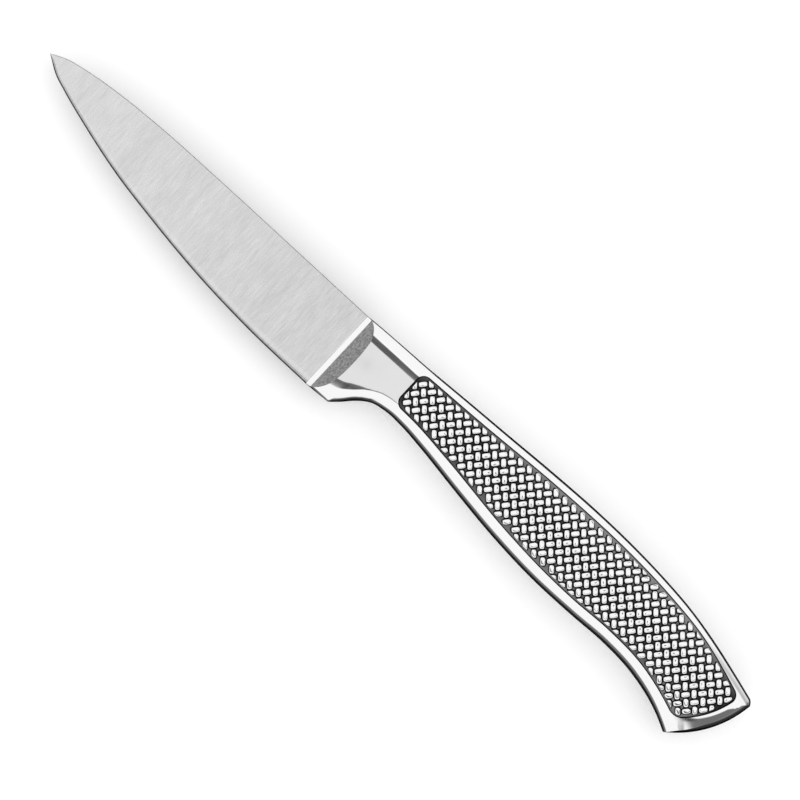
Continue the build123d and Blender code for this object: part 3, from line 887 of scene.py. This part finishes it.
# Geometry Nodes: a pad on every point, turned by its lean and tilted to the crown.
def padTree(shape):
    tree = bpy.data.node_groups.new("basketWeave", "GeometryNodeTree")
    make, link, socket = tree.nodes.new, tree.links.new, tree.interface.new_socket
    socket(name="Geometry", in_out="INPUT", socket_type="NodeSocketGeometry")
    for name in padSizes:
        socket(name=name, in_out="INPUT", socket_type="NodeSocketFloat")
    socket(name="Geometry", in_out="OUTPUT", socket_type="NodeSocketGeometry")

    def attribute(name, kind):
        made = make("GeometryNodeInputNamedAttribute")
        made.data_type = kind
        made.inputs["Name"].default_value = name
        return made.outputs["Attribute"]

    source, info = make("NodeGroupInput"), make("GeometryNodeObjectInfo")
    info.inputs["Object"].default_value = shape
    turn, tilt = make("FunctionNodeAxisAngleToRotation"), make("FunctionNodeAlignRotationToVector")
    turn.inputs["Axis"].default_value = (0, 0, 1)
    link(attribute("lean", "FLOAT"), turn.inputs["Angle"])
    tilt.axis = "Z"
    link(turn.outputs["Rotation"], tilt.inputs["Rotation"])
    link(attribute("facing", "FLOAT_VECTOR"), tilt.inputs["Vector"])
    size = make("ShaderNodeCombineXYZ")
    for axis, name in zip("XYZ", padSizes):
        link(source.outputs[name], size.inputs[axis])
    place = make("GeometryNodeInstanceOnPoints")
    link(source.outputs["Geometry"], place.inputs["Points"])
    link(info.outputs["Geometry"], place.inputs["Instance"])
    link(tilt.outputs["Rotation"], place.inputs["Rotation"])
    link(size.outputs["Vector"], place.inputs["Scale"])
    # painted shade: the pad walls are near-black for the shadow round each pad, and the tops stay bright
    # steel
    walls, crown = make("GeometryNodeSetMaterial"), make("GeometryNodeSetMaterial")
    walls.inputs["Material"].default_value = black
    crown.inputs["Material"].default_value = padSteel
    link(attribute("bare", "BOOLEAN"), crown.inputs["Selection"])
    chain = [place, make("GeometryNodeRealizeInstances"), walls, crown, make("NodeGroupOutput")]
    for before, after in zip(chain, chain[1:]):
        link(before.outputs[0], after.inputs["Geometry"])
    return tree


# The points that the pads stand on, with their lean and the way the crown faces there.
def padPoints(places):
    x, y = places[:, 0], places[:, 1]
    step = pads["slopeStep"]
    slopeX = (crownHalf(x + step, y) - crownHalf(x - step, y)) / (2 * step)
    slopeY = (crownHalf(x, y + step) - crownHalf(x, y - step)) / (2 * step)
    mesh = bpy.data.meshes.new("padPoints")
    spots = np.column_stack([x, y, crownHalf(x, y, pads["top"])])
    mesh.from_pydata([tuple(spot) for spot in spots], [], [])
    facing = mesh.attributes.new("facing", "FLOAT_VECTOR", "POINT")
    facing.data.foreach_set("vector", np.column_stack([-slopeX, -slopeY, np.ones(len(x))]).ravel())
    lean = mesh.attributes.new("lean", "FLOAT", "POINT")
    lean.data.foreach_set("value", np.radians(places[:, 2]))
    points = bpy.data.objects.new("padPoints", mesh)
    scene.collection.objects.link(points)
    return points


# The plain mesh that the tree makes on the points.
def padsOn(points, tree):
    nodes = points.modifiers.new("basketWeave", "NODES")
    nodes.node_group = tree
    for item in tree.interface.items_tree:
        if item.name in padSizes:
            nodes[item.identifier] = pads[padSizes[item.name]]
    bpy.context.view_layer.update()
    evaluated = points.evaluated_get(bpy.context.evaluated_depsgraph_get())
    made = bpy.data.meshes.new_from_object(evaluated)
    points.modifiers.clear()
    bpy.data.objects.remove(points)
    return made


# All the pads of one panel, drawn in along its margin, without those that lie mostly outside.
def padPiece(word, side, tree):
    places = padPlaces()
    made = padsOn(padPoints(places), tree)
    where = np.empty(len(made.vertices) * 3)
    made.vertices.foreach_get("co", where)
    where = where.reshape(-1, 3)
    perPad = len(where) // len(places)
    outside = panelDistance(where[:, 0], where[:, 1], panel["margin"]) > 0
    edgeX, edgeY = onOutline(where[:, 0], where[:, 1], panel["margin"], pads["snap"], pads["snapRounds"])
    where[outside, 0], where[outside, 1] = edgeX[outside], edgeY[outside]
    where[:, 2] = np.minimum(where[:, 2], crownHalf(where[:, 0], where[:, 1], pads["top"]))
    share = 1 - outside.reshape(-1, perPad).mean(axis=1)
    dropped = np.nonzero(np.repeat(share < pads["leastShare"], perPad))[0]
    made.vertices.foreach_set("co", placed(where, side).ravel())
    work = bmesh.new()
    work.from_mesh(made)
    work.verts.ensure_lookup_table()
    bmesh.ops.delete(work, geom=[work.verts[int(i)] for i in dropped], context="VERTS")
    bmesh.ops.recalc_face_normals(work, faces=work.faces)
    work.to_mesh(made)
    work.free()
    made.shade_smooth()
    addPiece("pads_" + word, made, "grip_pads_" + word)


padShape = padMesh()
weave = padTree(padShape)
padPiece("left", 1, weave)
padPiece("right", -1, weave)
bpy.data.objects.remove(padShape)
print("pads made")

# Studio: white floor and sky, with a grey patch overhead that the polished steel mirrors

studio = {
    "angle": 42.96, "aim": (105.0, -3.28), "frameWidth": 170.56, "lens": 200.0, "sensor": 36.0,
    "skyLight": 1.0, "floorSize": 6.0, "floorGlow": 0.12,
    "lampSize": 0.9, "lampPower": 1.5, "lampPlace": (0.25, 0.35, 1.2), "lampTilt": 0.35,
}

# What polished steel sees of the sky: stops along a direction, each with its brightness
skyBands = {
    "sides": [(-0.65, 1), (-0.61, 0.09), (-0.53, 0.09), (-0.48, 1),
              (0.62, 1), (0.68, 0.09), (0.77, 0.09), (0.81, 1)],  # dark strips beside the knife
    "aside": [(-0.30, 1), (-0.24, 0), (0.22, 0), (0.32, 1)],  # the strips end here
    "ahead": [(0.41, 1), (0.49, 0.16), (0.70, 0.16), (0.82, 1)],  # grey patch for the crescent facet
    "high": [(0.58, 0), (0.66, 1)],  # the patch's lower end
    "upright": [(-0.68, 0), (-0.64, 1)],  # and its end towards the edge
    "lens": [(0, 0.05), (0.0028, 0.10), (0.011, 1)],  # dark spot overhead, seen as streaks on the pads
    "below": [(-1, 0.01), (-0.71, 0.02), (-0.67, 1)],  # black outline of the handle
    "brim": [(-0.90, 0), (-0.84, 0.12), (-0.71, 0.2), (-0.67, 0)],  # its greyer inner rim at the belly
    "rear": [(0.24, 0), (0.40, 1)],  # a darker outline round the butt
    "deep": [(0.36, 0), (0.50, 1)],
    "tipward": [(-0.50, 1), (-0.38, 0)],  # the four next: where low views see the sky fall off
    "aslant": [(-0.28, 1), (-0.16, 0), (0.16, 0), (0.28, 1)],
    "capward": [(0.40, 0), (0.56, 1)],
    "spineward": [(0.16, 0), (0.28, 1)],
    "fall": [(-1, 0.35), (-0.20, 0.42), (0, 0.50), (0.24, 0.75), (0.52, 1)],
}
skyShape = {
    "patchAlong": 0.88, "patchAcross": 0.47, "lensAlong": 0.05, "lensReach": 0.02,
    "outlineLean": 0.207, "rearShade": 0.8,
}


# White sky, seen by polished steel as a grey patch overhead with dark bands beside it.
def makeSky():
    world = bpy.data.worlds.new("studioSky")
    scene.world = world
    world.use_nodes = True
    world.node_tree.nodes.clear()
    sky = MaterialMaker("", world.node_tree)
    direction = sky.outputs("ShaderNodeSeparateXYZ", {0: sky.node("ShaderNodeTexCoord", output=0)})
    dx, dy, dz = (direction[axis] for axis in "XYZ")

    def band(name, value, low=-1.0, high=1.0):
        span = high - low
        stops = [((place - low) / span, (level, level, level, 1)) for place, level in skyBands[name]]
        stops = [stops[0], stops[-1]] + stops[1:-1]  # a new ramp has its two ends already
        return sky.node("ShaderNodeValToRGB", {"stops": stops}, {"Fac": (value - low) * (1 / span)})

    sides = 1 - (1 - band("sides", dy)) * (1 - band("aside", dx))
    ahead = band("ahead", dx * skyShape["patchAlong"] - dy * skyShape["patchAcross"], 0.0)
    ahead = 1 - (1 - ahead) * band("high", dz, 0.0) * band("upright", dy)
    fromLens = dx - skyShape["lensAlong"]
    near = fromLens * fromLens + dy * dy
    above = sides * ahead * band("lens", near, 0.0, skyShape["lensReach"])
    slant = dz + dy * skyShape["outlineLean"]
    belly = sky.node("ShaderNodeMath", {"operation": "LESS_THAN"}, {0: dy, 1: 0.0})
    shelter = 1 - skyShape["rearShade"] * band("rear", dx, 0.0) * band("deep", 0 - dz, 0.0)
    below = (band("below", slant) + band("brim", slant) * belly) * shelter
    upper = sky.node("ShaderNodeMath", {"operation": "GREATER_THAN"}, {0: dz, 1: 0.0})
    wide = band("tipward", dx) * band("aslant", dy) + band("capward", dx) * band("spineward", dy)
    shade = (upper * above + (1 - upper) * below) * (1 - wide * (1 - band("fall", dz)))
    mirrored = sky.node("ShaderNodeBackground", None, {"Color": (1, 1, 1, 1), "Strength": shade})
    plain = sky.node("ShaderNodeBackground", None, {"Color": (1, 1, 1, 1), "Strength": studio["skyLight"]})
    isGlossy = sky.outputs("ShaderNodeLightPath")["Is Glossy Ray"]
    blend = sky.node("ShaderNodeMixShader", None, {0: isGlossy, 1: plain, 2: mirrored})
    out = world.node_tree.nodes.new("ShaderNodeOutputWorld")
    world.node_tree.links.new(blend.socket, out.inputs["Surface"])


# Plain white floor that keeps the knife's shadow.
def makeFloor():
    size = studio["floorSize"]
    mesh = bpy.data.meshes.new("floor")
    corners = [(-size, -size, 0), (size, -size, 0), (size, size, 0), (-size, size, 0)]
    mesh.from_pydata(corners, [], [(0, 1, 2, 3)])
    floor = bpy.data.objects.new("floor", mesh)
    scene.collection.objects.link(floor)
    m = MaterialMaker("floorWhite")
    m.shade(Base_Color=(0.93, 0.93, 0.93, 1), Roughness=0.9, Specular_IOR_Level=0.0)
    path = m.outputs("ShaderNodeLightPath")
    seen = path["Is Camera Ray"] + path["Is Glossy Ray"] + path["Is Transmission Ray"]
    glow = studio["floorGlow"]
    m.shade(Emission_Color=m.mix(seen, (0, 0, 0, 1), (glow, glow, glow, 1)), Emission_Strength=1.0)
    mesh.materials.append(m.material)
    floor.visible_glossy = False  # the steel mirrors the sky's lower half instead


# Long lens straight above the knife, turned so that it lies as in the photo.
def makeCamera():
    camera = bpy.data.cameras.new("camera")
    camera.lens, camera.sensor_width, camera.sensor_fit = studio["lens"], studio["sensor"], "HORIZONTAL"
    camera.clip_end = 20.0
    holder = bpy.data.objects.new("camera", camera)
    scene.collection.objects.link(holder)
    distance = studio["lens"] / studio["sensor"] * studio["frameWidth"] * mm
    aim = placed([(*studio["aim"], 0)])[0]
    turn = Matrix.Rotation(math.radians(studio["angle"]), 4, "Z")
    holder.matrix_world = Matrix.Translation(Vector(aim) + Vector((0, 0, distance))) @ turn
    scene.camera = holder


# Broad soft lamp overhead for a gentle shadow, not mirrored in the steel.
def makeLamp():
    lamp = bpy.data.lights.new("softLamp", "AREA")
    lamp.shape, lamp.size, lamp.energy = "DISK", studio["lampSize"], studio["lampPower"]
    holder = bpy.data.objects.new("softLamp", lamp)
    tilt = Matrix.Rotation(studio["lampTilt"], 4, (-1, 0.7, 0))
    holder.matrix_world = Matrix.Translation(studio["lampPlace"]) @ tilt
    holder.visible_glossy = False
    scene.collection.objects.link(holder)


makeSky()
makeFloor()
makeCamera()
makeLamp()
scene.view_settings.view_transform = "Standard"
print("studio made")
